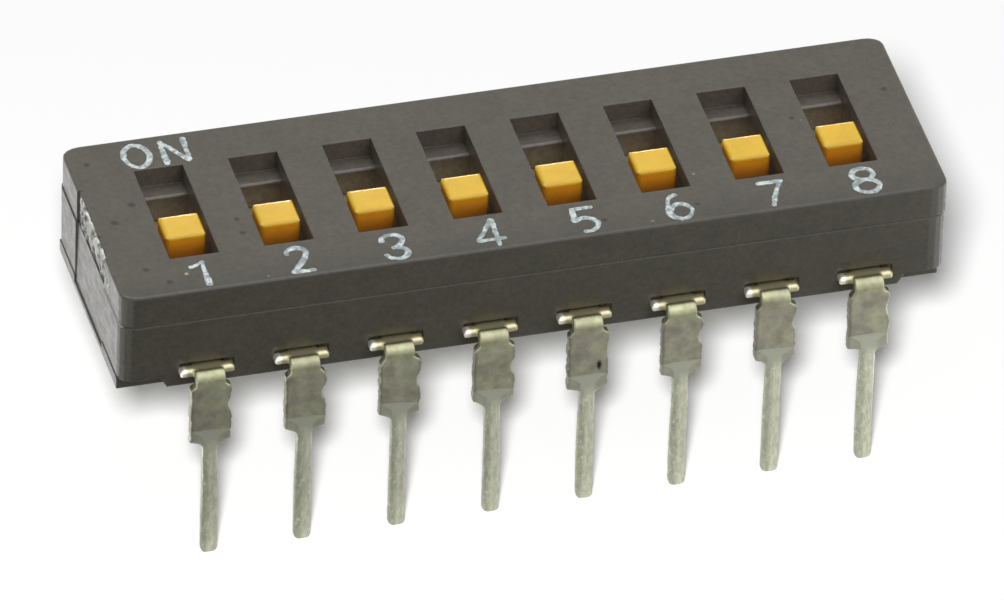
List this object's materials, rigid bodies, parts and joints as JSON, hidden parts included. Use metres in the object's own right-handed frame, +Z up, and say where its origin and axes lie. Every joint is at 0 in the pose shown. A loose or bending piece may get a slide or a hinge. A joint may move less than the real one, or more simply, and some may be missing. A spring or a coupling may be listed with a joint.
{
  "type": "slide dip switch",
  "caption": "Low-profile slide DIP switch: dark moulded housing with recessed stepped slots, yellow-orange sliders and rows of bent, shouldered through-hole leads along both sides.",
  "frame": {"origin": "middle of the two lead rows, at the level of the lead tips", "axes": "+X along the row of positions, from the first to the last; +Y across the rows, from the numbered OFF side to the ON side; +Z up, out of the face with the slots"},
  "size_m": [0.0223, 0.0078, 0.0082],
  "materials": {
    "housing_plastic": "fine matt moulded surface",
    "slider_plastic": "satin moulded",
    "tin_plated_lead": "copper alloy strip, dull tin plating",
    "gold_plated_spring": "spring bronze, gold plated"
  },
  "bodies": {
    "housing": {"cover": "housing_plastic", "base": "housing_plastic", "terminal_front_1": "tin_plated_lead", "terminal_front_2": "tin_plated_lead", "terminal_front_3": "tin_plated_lead", "terminal_front_4": "tin_plated_lead", "terminal_front_5": "tin_plated_lead", "terminal_front_6": "tin_plated_lead", "terminal_front_7": "tin_plated_lead", "terminal_front_8": "tin_plated_lead", "terminal_back_1": "tin_plated_lead", "terminal_back_2": "tin_plated_lead", "terminal_back_3": "tin_plated_lead", "terminal_back_4": "tin_plated_lead", "terminal_back_5": "tin_plated_lead", "terminal_back_6": "tin_plated_lead", "terminal_back_7": "tin_plated_lead", "terminal_back_8": "tin_plated_lead"},
    "actuator_1": {"slider_1": "slider_plastic", "contact_spring_1": "gold_plated_spring"},
    "actuator_2": {"slider_2": "slider_plastic", "contact_spring_2": "gold_plated_spring"},
    "actuator_3": {"slider_3": "slider_plastic", "contact_spring_3": "gold_plated_spring"},
    "actuator_4": {"slider_4": "slider_plastic", "contact_spring_4": "gold_plated_spring"},
    "actuator_5": {"slider_5": "slider_plastic", "contact_spring_5": "gold_plated_spring"},
    "actuator_6": {"slider_6": "slider_plastic", "contact_spring_6": "gold_plated_spring"},
    "actuator_7": {"slider_7": "slider_plastic", "contact_spring_7": "gold_plated_spring"},
    "actuator_8": {"slider_8": "slider_plastic", "contact_spring_8": "gold_plated_spring"}
  },
  "joints": [
    {"name": "slide_1", "type": "slide", "parent": "housing", "child": "actuator_1", "axis": [0, 1, 0], "range_m": [0, 0.00118]},
    {"name": "slide_2", "type": "slide", "parent": "housing", "child": "actuator_2", "axis": [0, 1, 0], "range_m": [0, 0.00118]},
    {"name": "slide_3", "type": "slide", "parent": "housing", "child": "actuator_3", "axis": [0, 1, 0], "range_m": [0, 0.00118]},
    {"name": "slide_4", "type": "slide", "parent": "housing", "child": "actuator_4", "axis": [0, 1, 0], "range_m": [0, 0.00118]},
    {"name": "slide_5", "type": "slide", "parent": "housing", "child": "actuator_5", "axis": [0, 1, 0], "range_m": [0, 0.00118]},
    {"name": "slide_6", "type": "slide", "parent": "housing", "child": "actuator_6", "axis": [0, 1, 0], "range_m": [0, 0.00118]},
    {"name": "slide_7", "type": "slide", "parent": "housing", "child": "actuator_7", "axis": [0, 1, 0], "range_m": [0, 0.00118]},
    {"name": "slide_8", "type": "slide", "parent": "housing", "child": "actuator_8", "axis": [0, 1, 0], "range_m": [0, 0.00118]}
  ]
}
